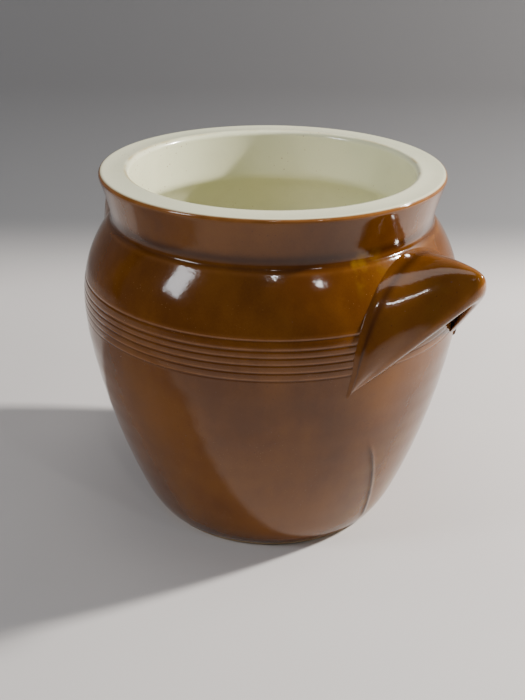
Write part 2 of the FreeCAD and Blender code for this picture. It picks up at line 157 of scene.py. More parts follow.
def rim_arc(start, end):
    """The small outer rounding of the rim, between two angles above the level."""
    across = FLARE_END_RADIUS - RIM_EDGE_ROUND * math.cos(math.radians(FLARE_ANGLE))
    return arc((across, RIM_TOP - RIM_EDGE_ROUND), RIM_EDGE_ROUND, start, end, 24)


def outside_points():
    """(radius, height) up the outside, from the edge of the glaze to the seam on the rim."""
    height = np.linspace(GLAZE_STOP, FLARE_END_HEIGHT, 900)
    wall = np.stack([pot_radius(height), height], 1)
    return np.concatenate([wall, rim_arc(-FLARE_ANGLE, SEAM_ANGLE)[1:]])


def inside_points():
    """(radius, height) over the rim, down the throat and inner wall and across the floor."""
    rim = rim_arc(SEAM_ANGLE, 90)[1:]
    crown = np.linspace(rim[-1][0], MOUTH_RADIUS + MOUTH_ROUND, 40)[1:-1]
    sag = 0.25 * MM * np.sin(math.pi * (crown - crown[-1]) / (crown[0] - crown[-1]))
    top = np.stack([crown, RIM_TOP - sag], 1)
    lip = arc((MOUTH_RADIUS + MOUTH_ROUND, RIM_TOP - MOUTH_ROUND), MOUTH_ROUND, 90, 180, 24)
    low = FLOOR + FLOOR_ROUND
    height = np.linspace(lip[-1][1], low, 600)[1:-1]
    hollow = np.select(
        [height < TOUCH[1], height < BELLY_HEIGHT],
        [arc_radius(WALL_CENTRE, WALL_ROUND - WALL, height),
         arc_radius(BELLY_CENTRE, BELLY_ROUND - WALL, height)],
        soft_max(arc_radius(SHOULDER_CENTRE, SHOULDER_ROUND - WALL, height), MOUTH_RADIUS, 2 * MM))
    wall = np.stack([hollow, height], 1)
    corner_x = wall[-1][0] - FLOOR_ROUND
    corner = arc((corner_x, low), FLOOR_ROUND, -2, -90, 30)
    floor = np.stack([np.linspace(corner_x, 0, 40)[1:], np.full(39, FLOOR)], 1)
    return np.concatenate([rim, top, lip, wall, corner, floor])


def lengths_along(line):
    """Running length of a polyline, starting at zero."""
    steps = np.hypot(*np.diff(line, axis=0).T)
    return np.concatenate([[0], np.cumsum(steps)])


def at_length(line, where):
    """Points of a polyline at the given running lengths (any array shape)."""
    run = lengths_along(line)
    return np.stack([np.interp(where, run, line[:, 0]), np.interp(where, run, line[:, 1])], -1)


def shifted(line, distance):
    """The line moved sideways by a distance along its normal, to the right of its direction."""
    slope = np.gradient(line, axis=0)
    normal = np.stack([slope[:, 1], -slope[:, 0]], 1) / np.hypot(*slope.T)[:, None]
    return line + distance * normal


OUTLINE_OUTSIDE = outside_points()
OUTLINE_INSIDE = inside_points()
OUTLINE = np.concatenate([OUTLINE_OUTSIDE, OUTLINE_INSIDE])
SEAM_LENGTH = lengths_along(OUTLINE_OUTSIDE)[-1]
FULL_LENGTH = lengths_along(OUTLINE)[-1]
print(f"outside {SEAM_LENGTH / MM:.0f} mm, whole outline {FULL_LENGTH / MM:.0f} mm")


# %% [markdown]
# A surface here is a grid of points.  This helper turns a grid into a mesh: every four neighbours
# make a face, a grid that closes on itself is wrapped, points that coincide (at a pole) are
# merged, and a surface that came out inside-out, which its signed volume shows, is turned.
# Numbers that vary over the surface ride along as named attributes for the finishes to read.

# %% From a grid of points to a mesh
def grid_faces(rows, columns, wrap_rows, wrap_columns):
    """Corner numbers of every cell of a grid, four to a face."""
    index = np.arange(rows * columns).reshape(rows, columns)
    if wrap_rows:
        index = np.vstack([index, index[:1]])
    if wrap_columns:
        index = np.hstack([index, index[:, :1]])
    corners = [index[:-1, :-1], index[:-1, 1:], index[1:, 1:], index[1:, :-1]]
    return np.stack(corners, -1).reshape(-1, 4)


def signed_volume(points, faces):
    """A sixth of the sum of a . (b x c) over the triangles: negative when inside-out."""
    a, b, c, d = (points[faces[:, k]] for k in range(4))
    first = np.einsum("ij,ij->i", a, np.cross(b, c))
    second = np.einsum("ij,ij->i", a, np.cross(c, d))
    return (first.sum() + second.sum()) / 6


def make_surface(name, points, attributes=None, wrap_rows=True, wrap_columns=False):
    """A smooth mesh object from a (rows, columns, 3) grid, with attributes of the same grid."""
    rows, columns = points.shape[:2]
    flat = points.reshape(-1, 3)
    faces = grid_faces(rows, columns, wrap_rows, wrap_columns)
    if signed_volume(flat, faces) < 0:
        faces = faces[:, ::-1]
    mesh = bpy.data.meshes.new(name)
    mesh.vertices.add(len(flat))
    mesh.vertices.foreach_set("co", np.ascontiguousarray(flat, dtype=np.float32).ravel())
    mesh.loops.add(faces.size)
    mesh.loops.foreach_set("vertex_index", np.ascontiguousarray(faces, dtype=np.int32).ravel())
    mesh.polygons.add(len(faces))
    mesh.polygons.foreach_set("loop_start", np.arange(0, faces.size, 4, dtype=np.int32))
    mesh.update(calc_edges=True)
    for label, values in (attributes or {}).items():
        layer = mesh.attributes.new(label, "FLOAT", "POINT")
        values = np.broadcast_to(values, (rows, columns)).astype(np.float32)
        layer.data.foreach_set("value", values.ravel())
    merged = bmesh.new()
    merged.from_mesh(mesh)
    bmesh.ops.remove_doubles(merged, verts=merged.verts, dist=1e-6)
    merged.to_mesh(mesh)
    merged.free()
    mesh.shade_smooth()
    piece = bpy.data.objects.new(name, mesh)
    bpy.context.scene.collection.objects.link(piece)
    print(name, len(mesh.polygons), "faces")
    return piece


# %% [markdown]
# Thrown walls carry the marks of the wheel.  Six fine lines run round the widest part, a deeper
# one and a small ridge sit on the shoulder, and the rest of the wall has a slow ripple left by
# the fingers.  Each mark is a small push in or out, a function of height and of the angle round
# the pot.

# %% Marks of the wheel
LINE_HEIGHTS = (147.4, 152.5, 157.4, 161.9, 166.4, 172.0)
SHOULDER_LINE = 208.6
LINE_DEPTH, SHOULDER_DEPTH, RIDGE_RISE = 0.31, 0.35, 0.05
RIPPLE, LEAN, SETTLED = 0.07, 0.08, 0.06


def bump(value, centre, width):
    """A smooth hill one unit high: e to the minus ((value - centre) / width) squared."""
    return np.exp(-((value - centre) / width) ** 2)


def smooth_step(value, low, high):
    """0 below low, 1 above high, and 3t^2 - 2t^3 between."""
    t = np.clip((value - low) / (high - low), 0, 1)
    return t * t * (3 - 2 * t)


def wobble(angle, seed, waves=5):
    """A slow closed wave round the pot, between about -1 and 1, from a few seeded sines."""
    draw = np.random.default_rng(seed)
    total = np.zeros_like(angle)
    for order in range(1, waves + 1):
        total = total + np.sin(order * angle + draw.uniform(0, 6.28)) * draw.uniform(0.3, 1) / order
    return total / 1.6


def line_depths(height, angle):
    """Depth in mm of the throwing lines and shoulder line: narrow grooves beside low ridges."""
    total = np.zeros(np.broadcast(height, angle).shape)
    for number, centre in enumerate(LINE_HEIGHTS):
        place = centre + 0.25 * wobble(angle, 30 + number)
        strength = 1 + 0.25 * wobble(angle, 60 + number)
        groove = LINE_DEPTH * bump(height, place, 0.6)
        total += strength * (groove - RIDGE_RISE * bump(height, place + 1.7, 1.0))
    shoulder = SHOULDER_LINE + 0.3 * wobble(angle, 5)
    groove = SHOULDER_DEPTH * bump(height, shoulder, 0.9)
    return total + groove - RIDGE_RISE * bump(height, shoulder - 2.2, 1.2)


def thrown_push(height, angle):
    """How far in mm the surface stands in (minus) or out (plus) from the plain outline."""
    ripple = RIPPLE * np.sin(height / 2.6 + 0.8 * wobble(angle, 3)) * bump(height, 120, 70)
    lean = LEAN * (wobble(angle, 9, 3) - 1) * smooth_step(height, 20, 90)
    return ripple + lean - SETTLED - line_depths(height, angle)


# %% [markdown]
# One streak of glaze ran down the wall in the kiln and set as a raised thread, and a second thick
# patch made a low lump near the foot.  Both are part of the brown coat, so they are pushes too.
# The columns of the grid are packed round the streak, because it is only a few millimetres wide.

# %% The run of thick glaze
RUN_TOP, RUN_BOTTOM = 89.0, 14.0
RUN_TOP_ANGLE, RUN_BOTTOM_ANGLE = math.radians(-17.7), math.radians(-4.8)
LUMP_ANGLE, LUMP_HEIGHT = math.radians(38.0), 68.0
RUN_RISE, LUMP_RISE = 0.75, 1.4


def run_share(height, angle):
    """1 on the middle of the glaze run, falling to 0 at its edges and ends."""
    down = np.clip((RUN_TOP - height) / (RUN_TOP - RUN_BOTTOM), 0, 1)
    middle = RUN_TOP_ANGLE + (RUN_BOTTOM_ANGLE - RUN_TOP_ANGLE) * down ** 0.8
    half_width = (1.1 + 0.9 * down) / 100
    ends = smooth_step(height, RUN_BOTTOM - 6, RUN_BOTTOM + 1) * (
        1 - smooth_step(height, RUN_TOP - 12, RUN_TOP + 4))
    return bump(angle, middle, half_width) * ends


def lump_share(height, angle):
    return bump(height, LUMP_HEIGHT, 9.0) * bump(angle, LUMP_ANGLE, 0.09)


def packed_angles():
    """Angles once round the pot, four times closer together near the glaze run."""
    start, end = math.radians(-24), math.radians(2)
    fine = np.linspace(start, end, 90, endpoint=False)
    coarse = np.linspace(end, start + 2 * math.pi, 270, endpoint=False)
    return np.concatenate([fine, coarse])


# %% [markdown]
# The two coats meet just under the rim in a line that is not quite level, since the pot was dipped
# by hand.  `seam_shift` is that unevenness.  Rows near the seam slide along the outline with it, so
# the brown coat and the cream coat share the same edge.

# %% The coats as closed shells
def seam_shift(angle):
    """How far in metres along the outline the seam wanders."""
    return 0.3 * MM * wobble(angle, 21, 7)


def coat_grid(start, end, rows, angles, slide_start, slide_end, push):
    """A shell over the outline from running length start to end.

    The outer rows lie on the outline plus `push`; the inner rows come back along the clay, one
    glaze thickness below.  A row near a sliding edge moves with the seam.
    """
    share = (rows - start) / (end - start)
    slide = slide_start * (1 - smooth_step(share, 0, 0.06)) + slide_end * smooth_step(share, 0.94, 1)
    where = rows[:, None] + slide[:, None] * seam_shift(angles)[None, :]
    clay_line = shifted(OUTLINE, -GLAZE)
    outer = at_length(OUTLINE, where)
    inner = at_length(clay_line, where * lengths_along(clay_line)[-1] / FULL_LENGTH)
    angle = np.broadcast_to(angles[None, :], where.shape)
    radius = outer[..., 0] + push(outer[..., 1] / MM, angle) * MM
    ring = [np.stack([r * np.cos(angle), r * np.sin(angle), z], -1)
            for r, z in ((radius, outer[..., 1]), (inner[..., 0], inner[..., 1]))]
    return np.concatenate([ring[0], ring[1][::-1]]), outer[..., 1] / MM, angle


def brown_rows():
    """Running lengths up the outside: about 3 mm apart, but under 0.5 mm across the lines."""
    height = np.concatenate([
        np.linspace(GLAZE_STOP / MM, 143, 56, endpoint=False),
        np.linspace(143, 176, 78, endpoint=False),
        np.linspace(176, 203, 12, endpoint=False),
        np.linspace(203, 219, 34, endpoint=False),
        np.linspace(219, FLARE_END_HEIGHT / MM, 14)]) * MM
    run = lengths_along(OUTLINE_OUTSIDE)
    wall = np.interp(height, OUTLINE_OUTSIDE[:, 1], run)
    return np.concatenate([wall, np.linspace(wall[-1], SEAM_LENGTH, 9)[1:]])


def brown_push(height, angle):
    below_rim = 1 - smooth_step(height, 228, 237)
    thick = RUN_RISE * run_share(height, angle) + LUMP_RISE * lump_share(height, angle)
    return thrown_push(height, angle) * below_rim - SETTLED + thick


def both_sides(values):
    """Repeats a grid of numbers for the inner rows of a shell."""
    return np.concatenate([values, values[::-1]])


ANGLES = packed_angles()
grid, height, angle = coat_grid(0, SEAM_LENGTH, brown_rows(), ANGLES, 0, 1, brown_push)
ridges = 0.9 * np.clip(-line_depths(height, angle) * 5, 0, 1)
for centre in LINE_HEIGHTS:
    ridges = np.maximum(ridges, 0.8 * bump(height, centre + 0.9, 0.5))
thin_and_highlight = np.maximum(ridges, 0.9 * smooth_step(height, 236.5, 239.0))
# Darkest brown: glaze pooled in the grooves, along the run and in the neck corner, plus painted
# shade in the neck under the collar; the last rows also darken towards the foot.
pooled_and_shade = np.clip(line_depths(height, angle) * 1.4, 0, 1) + bump(height, 213.5, 3.0)
pooled_and_shade = np.maximum(pooled_and_shade, 1.3 * run_share(height, angle))
pooled_and_shade = np.maximum(pooled_and_shade, 0.6 * (1 - smooth_step(height, 4, 16)))
near_ear = bump(height, 206, 9.0) * (bump(angle, math.radians(-26), 0.2)
                                     + bump(angle, math.radians(180 - 26), 0.2))
low_patch = smooth_step(-height, -120, -40) * bump(angle, math.radians(8), 0.35)
brown_coat = make_surface(
    "brown_coat", grid,
    {"thin_and_highlight": both_sides(thin_and_highlight), "pooled_and_shade": both_sides(pooled_and_shade),
     "ochre": both_sides(near_ear + 0.8 * low_patch)},
    wrap_columns=True)


# %% [markdown]
# The cream coat starts at the seam, rolls over the flat rim and lines the pot.  Faint rings from
# the fingers run round the inner wall, below the throat.

# %% The cream coat
def cream_push(height, angle):
    ring = 0.12 * np.sin(height / 3.1 + wobble(angle, 14))
    return -0.1 + ring * smooth_step(-height, -225, -190)


cream_run = FULL_LENGTH - SEAM_LENGTH
RIM_RUN = 26 * MM
cream_rows = SEAM_LENGTH + np.concatenate([
    np.linspace(0, RIM_RUN, 46, endpoint=False),
    np.linspace(RIM_RUN, cream_run, 120)])
CREAM_ANGLES = np.linspace(0, 2 * math.pi, 256, endpoint=False)
grid, height, angle = coat_grid(
    SEAM_LENGTH, FULL_LENGTH, cream_rows, CREAM_ANGLES, 1, 0, cream_push)
run = np.broadcast_to((cream_rows - SEAM_LENGTH)[:, None] / MM, height.shape)
seam_tan = bump(run, 0, 0.7)
sides = 0.45 + 0.55 * np.abs(np.cos(angle - math.radians(40)))
inner_tan = bump(run, 16.5 + 0.6 * wobble(angle, 8), 1.0) * sides
cream_coat = make_surface(
    "cream_coat", grid,
    {"seam": both_sides(seam_tan), "stain": both_sides(inner_tan)},
    wrap_columns=True)

# %% [markdown]
# An ear is a hood of clay.  Its border is an arch on the wall: a half circle with two short legs.
# Its free edge is a straight-sided V whose point is the tip.  Eleven lines run from leg to leg: down
# the outside from the arch to the edge, round the lip, and back up the finger hollow into the wall.
# A smooth B-spline carried across the lines makes the skin, the way a draughtsman bends a
# batten over pegs.

# %% The ear's guiding lines
ARCH_RADIUS = 57.0
ARCH_LEG = 19.5
ARCH_TOP = 206.2
SPRING_HEIGHT = ARCH_TOP - ARCH_RADIUS
TIP = np.array([EAR_TIP_X / MM, 0.0, 193.5])
LEG_END = np.array([109.6, 56.5, SPRING_HEIGHT - ARCH_LEG + 3.5])
OPENING = (LEG_END - TIP) * np.array([1, 0, 1])
OPENING_LENGTH = float(np.hypot(OPENING[0], OPENING[2]))
DOWN_OPENING = OPENING / OPENING_LENGTH
OUT_OF_OPENING = np.array([-DOWN_OPENING[2], 0, DOWN_OPENING[0]])
LIP = 12.0
TIP_CLAY = 14.0
TIP_BLUNT = 11.5
POINTINESS = 0.2


def on_pot(across, up, out=0.0):
    """The point of the pot's outside at a sideways place and height, in mm, moved out by `out`."""
    radius = pot_radius(up * MM) / MM + out
    return np.stack([np.sqrt(np.maximum(radius ** 2 - across ** 2, 0)), across, up], -1)


def arch_place(share, grow):
    """Sideways place, height and turn on the arch, or on an arch larger by `grow`.

    share runs from -1 at one leg's end over 0 at the top to 1 at the other leg's end, evenly in
    length: first along a quarter circle, then straight down the leg.
    """
    length = np.abs(share) * (ARCH_RADIUS * math.pi / 2 + ARCH_LEG)
    turn = np.minimum(length / ARCH_RADIUS, math.pi / 2)
    down = np.maximum(length - ARCH_RADIUS * math.pi / 2, 0)
    radius = ARCH_RADIUS + grow
    across = np.sign(share) * (radius * np.sin(turn) + 0.12 * down)
    return across, SPRING_HEIGHT + radius * np.cos(turn) - down, turn


def rounded_v(share):
    """A V with a soft point: 0 at share 0 and 1 at share 1, by a hyperbola."""
    raw = np.sqrt(share ** 2 + POINTINESS ** 2) - POINTINESS
    return raw / (math.sqrt(1 + POINTINESS ** 2) - POINTINESS)


def free_edge(share, inward):
    """Edge of the opening, or that edge moved inward in the opening's own plane."""
    down = OPENING_LENGTH * rounded_v(share) + inward * TIP_CLAY / LIP * (1 - np.abs(share))
    aside = LEG_END[1] - 1.22 * inward
    line = TIP + down[:, None] * DOWN_OPENING
    line[:, 1] = aside * share
    return line


def between(one, other, share):
    return one + (other - one) * share


def length_of(vectors):
    return np.sqrt((vectors ** 2).sum(-1, keepdims=True))


def ear_lines(share):
    """The eleven guiding lines of an ear on the +X side."""
    reach = np.abs(share)
    arched = (1 - smooth_step(reach, 0.80, 1.0))[:, None]
    at_tip = bump(reach, 0, 0.2)[:, None]
    _, _, turn = arch_place(share, 0)
    radial = np.stack([0.35 + 0 * turn, np.sign(share) * np.sin(turn), np.cos(turn)], -1)
    radial = radial / length_of(radial)

    def on_wall(grow, out):
        return on_pot(*arch_place(share, grow)[:2], out)

    border = on_wall(0.0, 0.0)
    skirt = on_wall(1.6, -0.7)
    roll = on_wall(0.9, 2.4)
    edge = free_edge(share, 0.0)
    from_edge = (border - edge) / (length_of(border - edge) + 1.0)
    lip_top = edge + 3.4 * from_edge * (1 - at_tip) + at_tip * [0, 0, TIP_BLUNT]
    swell = arched * radial
    near = between(border, lip_top, 0.16) + 1.9 * swell
    middle = between(border, lip_top, 0.45) + 3.6 * swell
    outer = between(border, lip_top, 0.76) + 2.6 * swell
    inner_edge = free_edge(share, LIP)
    lip = between(edge, inner_edge, 0.5) + arched * 0.8 * OUT_OF_OPENING
    hollow = between(inner_edge, on_wall(-LIP, 0.0), 0.5) + 1.2 * swell
    buried = on_wall(-LIP, -7.0)
    lines = np.stack(
        [skirt, roll, near, middle, outer, lip_top, edge, lip, inner_edge, hollow, buried])
    end = on_pot(*arch_place(np.sign(share) * 1.0, 0)[:2], -3.0)
    return between(lines, end[None], smooth_step(reach, 0.965, 1.0)[None, :, None])


SHARES = np.linspace(-1, 1, 181)
print("guiding lines:", ear_lines(SHARES).shape)


# %% [markdown]
# A B-spline is a moving average of its guiding points.  The weights come from the usual recursion:
# start with steps that are 1 on one span and 0 elsewhere, then three times blend neighbours.  The
# same weights serve every column of the ear at once, so the whole skin is one matrix product.

# %% B-spline weights and the ear skins
def spline_weights(controls, samples, degree=3):
    """Weights (samples, controls) of a clamped B-spline, by the Cox-de Boor recursion."""
    inner = np.linspace(0, 1, controls - degree + 1)
    knots = np.concatenate([np.zeros(degree), inner, np.ones(degree)])
    t = np.linspace(0, 1, samples)[:, None]
    weights = ((t >= knots[:-1]) & (t < knots[1:])).astype(float)
    weights[-1, controls - 1] = 1
    for order in range(1, degree + 1):
        count = len(knots) - order - 1
        low, high = knots[:count], knots[order + 1:order + 1 + count]
        low_span = knots[order:order + count] - low
        high_span = high - knots[1:1 + count]
        rise = np.divide(t - low, low_span, out=np.zeros((samples, count)), where=low_span > 0)
        fall = np.divide(high - t, high_span, out=np.zeros((samples, count)), where=high_span > 0)
        weights = rise * weights[:, :count] + fall * weights[:, 1:count + 1]
    return weights


def ear_grid(samples):
    """Skin of the ear on the +X side: the spline across its lines, closed inside the wall."""
    lines = ear_lines(SHARES)
    return np.einsum("sk,kcx->scx", spline_weights(len(lines), samples), lines) * MM


def turned_round(points, angle):
    """The points turned about the pot's axis."""
    x, y, z = np.moveaxis(points, -1, 0)
    cos, sin = math.cos(angle), math.sin(angle)
    return np.stack([x * cos - y * sin, x * sin + y * cos, z], -1)


EAR_SAMPLES = 120
across_skin = np.linspace(0, 1, EAR_SAMPLES)[:, None]
reach = np.abs(SHARES)[None, :]
# Marks on the ear: tan along the lip edge and down the ridge, where the glaze breaks thin and also a
# painted highlight; darker in the crease inside the border; painted shade in the finger hollow under
# the ear.
EAR_MARKS = {
    "thin_and_highlight": 0.5 * bump(across_skin, 0.56, 0.05) + 0.35 * bump(reach, 0, 0.04) * bump(
        across_skin, 0.35, 0.2),
    "pooled_and_shade": 0.9 * bump(across_skin, 0.10, 0.035) + 0.9 * smooth_step(across_skin, 0.84, 0.93),
    "ochre": 0.25 * bump(across_skin, 0.5, 0.3) * (1 - reach),
}
EARS = {}
for side, turn in (("right", 0.0), ("left", math.pi)):
    skin = turned_round(ear_grid(EAR_SAMPLES), turn)
    EARS[side] = make_surface(f"{side}_ear_glaze", skin, EAR_MARKS)

# %% [markdown]
# Finishes are written as sums.  `Wire` wraps one socket, so that `1 - mask * 0.5` adds the Math
# nodes by itself, and `Finish.node` adds any other node from its settings and its inputs.

# %% A small language for finishes
class Wire:
    """A number that varies over a surface, with arithmetic."""

    def __init__(self, finish, socket):
        self.finish, self.socket = finish, socket

    def maths(self, operation, *others):
        return self.finish.node("ShaderNodeMath", {"operation": operation},
                                dict(enumerate((self, *others))))

    def __add__(self, other):
        return self.maths("ADD", other)

    def __mul__(self, other):
        return self.maths("MULTIPLY", other)

    def __sub__(self, other):
        return self.maths("SUBTRACT", other)

    def __rsub__(self, other):
        return self.maths("MULTIPLY", -1.0).maths("ADD", other)

    __radd__, __rmul__ = __add__, __mul__

    def within(self, low, high):
        """0 below low, 1 above high, smooth between."""
        return self.finish.node(
            "ShaderNodeMapRange", {"interpolation_type": "SMOOTHSTEP", "clamp": True},
            {"Value": self, "From Min": low, "From Max": high})


class Finish:
    """A material and the one method that adds a node to it."""

    def __init__(self, name):
        self.material = bpy.data.materials.new(name)
        self.material.use_nodes = True
        self.tree = self.material.node_tree
        self.tree.nodes.clear()

    def node(self, kind, settings=None, inputs=None, output=0):
        """Adds a node, sets it up, fills its sockets and returns one output as a Wire."""
        node = self.tree.nodes.new(kind)
        for key, value in (settings or {}).items():
            setattr(node, key, value)
        for key, value in (inputs or {}).items():
            socket = node.inputs[key]
            if isinstance(value, Wire):
                self.tree.links.new(value.socket, socket)
            else:
                socket.default_value = value
        return Wire(self, node.outputs[output])

    def attribute(self, name):
        return self.node("ShaderNodeAttribute", {"attribute_name": name}, output="Fac")

    def place(self, stretch=(1.0, 1.0, 1.0)):
        """Object coordinates, stretched."""
        where = self.node("ShaderNodeTexCoord", output="Object")
        return self.node("ShaderNodeMapping", {}, {"Vector": where, "Scale": stretch})

    def noise(self, scale, detail=3.0, rough=0.5, stretch=(1.0, 1.0, 1.0)):
        return self.node("ShaderNodeTexNoise", {}, {
            "Vector": self.place(stretch), "Scale": scale, "Detail": detail, "Roughness": rough})

    def specks(self, scale, size):
        """1 in the middle of scattered dots and 0 between them."""
        cells = self.node("ShaderNodeTexVoronoi", {"feature": "F1"}, {
            "Vector": self.place(), "Scale": scale, "Randomness": 1.0})
        return 1 - cells.within(size * 0.5, size)

    def blend(self, share, one, other):
        """Colour one where share is 0, colour other where it is 1."""
        return self.node("ShaderNodeMix", {"data_type": "RGBA", "clamp_factor": True},
                         {0: share, 6: one, 7: other}, output=2)

    def bumpy(self, height, strength, distance, below=None):
        inputs = {"Height": height, "Strength": strength, "Distance": distance}
        if below is not None:
            inputs["Normal"] = below
        return self.node("ShaderNodeBump", {}, inputs)

    def surface(self, settings):
        shader = self.node("ShaderNodeBsdfPrincipled", {}, settings)
        end = self.tree.nodes.new("ShaderNodeOutputMaterial")
        self.tree.links.new(shader.socket, end.inputs["Surface"])
        return self.material


# %% [markdown]
# Treacle glaze is clear brown glass over tan clay.  Where it is thick it looks almost black-brown,
# where it breaks thin over a ridge the clay shows through as tan, and iron in it blooms ochre in
# patches.  The black-brown also carries painted shade under the collar and in the ears' finger
# hollows, and the tan on the ears' ridge and lip is also a painted highlight.  So the colour is a
# blend of four browns, steered by the marks on the mesh and by noise at three scales: clouds,
# vertical streaks from running, and fine peppering.

# %% Brown glaze
TREACLE, AMBER = (0.098, 0.029, 0.0022, 1), (0.170, 0.058, 0.0050, 1)
POOL_AND_SHADE_BROWN = (0.034, 0.008, 0.0010, 1)
OCHRE, THIN_TAN_AND_HIGHLIGHT = (0.200, 0.095, 0.004, 1), (0.340, 0.135, 0.035, 1)
IRON_SPECK, PALE_SPECK = (0.030, 0.010, 0.003, 1), (0.45, 0.26, 0.10, 1)


def brown_glaze():
    finish = Finish("brown_glaze")
    clouds = finish.noise(14.0, 4.0, 0.55)
    streaks = finish.noise(38.0, 3.0, 0.5, (1.0, 1.0, 0.16))
    pepper = finish.noise(900.0, 2.0, 0.6)
    mottle = finish.noise(70.0, 3.0, 0.6)
    thin_and_highlight = finish.attribute("thin_and_highlight")
    pooled_and_shade = finish.attribute("pooled_and_shade")
    ochre = finish.attribute("ochre")

    body = clouds * 0.6 + streaks * 0.3 + pepper * 0.1
    colour = finish.blend(body.within(0.36, 0.64), TREACLE, AMBER)
    # Near-black brown where glaze pools in grooves, the run and the neck, darker towards the foot
    # and in the ears' border crease, and painted shade under the collar and in the ears' finger
    # hollows.
    colour = finish.blend(pooled_and_shade * 0.8 + mottle * 0.2 - 0.1, colour, POOL_AND_SHADE_BROWN)
    colour = finish.blend(ochre * mottle.within(0.42, 0.66), colour, OCHRE)
    # Tan where the glaze breaks thin over ridges and the rim; on the ears' ridge and lip it is also
    # a painted highlight.
    colour = finish.blend(thin_and_highlight * (mottle.within(0.3, 0.6) * 0.4 + 0.3), colour, THIN_TAN_AND_HIGHLIGHT)
    dark_specks = finish.specks(300.0, 0.16) * finish.noise(30.0).within(0.54, 0.66)
    colour = finish.blend(dark_specks * 0.5, colour, IRON_SPECK)
    pale_specks = finish.specks(430.0, 0.13) * finish.noise(22.0).within(0.54, 0.68)
    colour = finish.blend(pale_specks * 0.4, colour, PALE_SPECK)

    skin = finish.noise(120.0, 2.0, 0.5) * 0.7 + finish.noise(420.0, 2.0, 0.5) * 0.3
    pits = finish.specks(300.0, 0.12) * finish.noise(40.0).within(0.56, 0.68)
    normal = finish.bumpy(skin, 0.16, 0.0009)
    normal = finish.bumpy(1 - pits, 0.35, 0.0004, normal)
    rough = 0.075 + clouds * 0.06 + pits * 0.3
    return finish.surface({
        "Base Color": colour, "Roughness": rough, "IOR": 1.44, "Normal": normal})


BROWN = brown_glaze()
print("brown glaze has", len(BROWN.node_tree.nodes), "nodes")


# %% [markdown]
# The cream is an opaque glaze, so it hardly changes with thickness.  It takes a faint green-grey
# cloud, a few rust specks from the clay, and thin tan lines where it runs off an edge: at the seam
# with the brown and round the mouth.

# %% Cream glaze
CREAM_COOL, CREAM_WARM = (0.740, 0.745, 0.520, 1), (0.810, 0.790, 0.560, 1)
CREAM_PATCH, MOUTH_STAIN = (0.690, 0.680, 0.460, 1), (0.520, 0.400, 0.170, 1)
SEAM_TAN, RUST = (0.400, 0.200, 0.060, 1), (0.330, 0.170, 0.060, 1)


def cream_glaze():
    finish = Finish("cream_glaze")
    clouds = finish.noise(11.0, 3.0, 0.5)
    patches = finish.noise(45.0, 4.0, 0.6)
    seam = finish.attribute("seam")
    stain = finish.attribute("stain")
    colour = finish.blend(clouds.within(0.35, 0.65), CREAM_COOL, CREAM_WARM)
    colour = finish.blend(patches.within(0.5, 0.75) * 0.35, colour, CREAM_PATCH)
    colour = finish.blend(stain * patches.within(0.36, 0.6) * 0.75, colour, MOUTH_STAIN)
    colour = finish.blend(seam * 0.85, colour, SEAM_TAN)
    rust = finish.specks(210.0, 0.13) * finish.noise(17.0).within(0.5, 0.65)
    colour = finish.blend(rust * 0.7, colour, RUST)
    skin = finish.noise(90.0, 2.0, 0.5)
    normal = finish.bumpy(skin, 0.12, 0.0008)
    normal = finish.bumpy(1 - rust, 0.2, 0.0003, normal)
    return finish.surface({
        "Base Color": colour, "Roughness": 0.13 + patches * 0.1, "IOR": 1.5, "Normal": normal,
        "Coat Weight": 0.3, "Coat Roughness": 0.05})


CREAM = cream_glaze()


# %% [markdown]
# The clay shows only where the foot was wiped clean of glaze.  It is matt and sandy, with darker
# grains of grog.

# %% Bare clay
def bare_clay():
    finish = Finish("stoneware_clay")
    clouds = finish.noise(25.0, 4.0, 0.6)
    sand = finish.noise(700.0, 3.0, 0.7)
    colour = finish.blend(clouds.within(0.3, 0.7), (0.52, 0.37, 0.22, 1), (0.38, 0.25, 0.14, 1))
    grog = finish.specks(380.0, 0.2)
    colour = finish.blend(grog * sand.within(0.4, 0.6) * 0.6, colour, (0.16, 0.09, 0.045, 1))
    normal = finish.bumpy(sand, 0.5, 0.0006)
    return finish.surface({
        "Base Color": colour, "Roughness": 0.8 + sand * 0.15, "Normal": normal})


CLAY = bare_clay()

# %% [markdown]
# Each piece now gets its finish and a body to ride on.  The crock has no joints, so everything
# rides on the one body.  The glazed skins stand for the thin coats of the engineering model; the
# clay pot itself keeps its own mesh.

# %% Dress the pieces and hang them on the frame
def dress(piece, material, slot, *nodes):
    """Gives a new piece its finish, hangs it on the root body and hides the parts that it stands
    for.
    """
    piece.data.materials.append(material)
    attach(piece, "root")
    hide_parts(*nodes)


dress(brown_coat, BROWN, "brown_glaze", "brown_outer_glaze")
dress(cream_coat, CREAM, "cream_glaze", "cream_liner_glaze")
for side, ear in EARS.items():
    dress(ear, BROWN, "brown_glaze", f"ear_{side}_glaze", f"ear_{side}", f"ear_{side}_slip")

clay_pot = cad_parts["stoneware_body"]
clay_pot.data.materials.clear()
clay_pot.data.materials.append(CLAY)

# %% [markdown]
# The stage is one sheet: a pale floor that curves up into a backdrop behind the pot, so there is no
# corner line.  Its profile runs away from the camera: flat, a quarter circle, then straight up.

# %% Floor and backdrop
VIEW_HEADING = math.radians(40.5)
AWAY = np.array([-math.sin(VIEW_HEADING), math.cos(VIEW_HEADING)])
ASIDE = np.array([math.cos(VIEW_HEADING), math.sin(VIEW_HEADING)])
SWEEP_START, SWEEP_ROUND, SWEEP_TOP = 0.26, 0.20, 2.2
FLOOR_NEAR, STAGE_HALF_WIDTH = -1.6, 3.0


